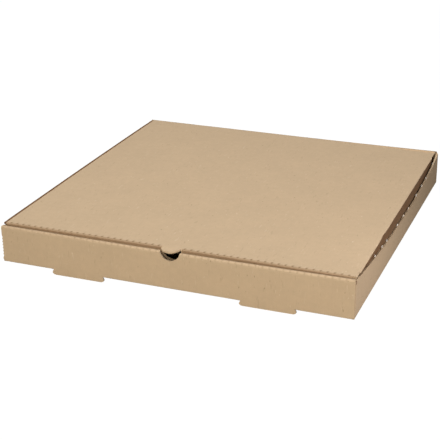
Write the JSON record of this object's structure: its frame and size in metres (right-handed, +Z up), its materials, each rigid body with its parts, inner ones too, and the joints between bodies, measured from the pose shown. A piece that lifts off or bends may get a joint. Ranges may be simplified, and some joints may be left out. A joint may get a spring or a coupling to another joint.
{
  "type": "pizza box",
  "caption": "Closed corrugated kraft board pizza box, folded from one sheet, with a hinged lid, a rolled front wall, a thumb notch and scooped side walls.",
  "frame": {"origin": "middle of the closed box in plan, its small thumb tab included, at the height of the two feet below the front wall", "axes": "X across the front to the right, Y from the front to the rear fold, Z up"},
  "size_m": [0.356, 0.3584, 0.0449],
  "materials": {
    "kraft_tray": "matt uncoated kraft board",
    "kraft_lid": "matt uncoated kraft board"
  },
  "bodies": {
    "tray": {"tray": "kraft_tray"},
    "lid": {"lid": "kraft_lid"}
  },
  "joints": [
    {"name": "lid_hinge", "type": "hinge", "parent": "tray", "child": "lid", "pos_m": [0, 0.17835, 0.0401], "axis": [-1, 0, 0], "range_deg": [0, 180]}
  ]
}
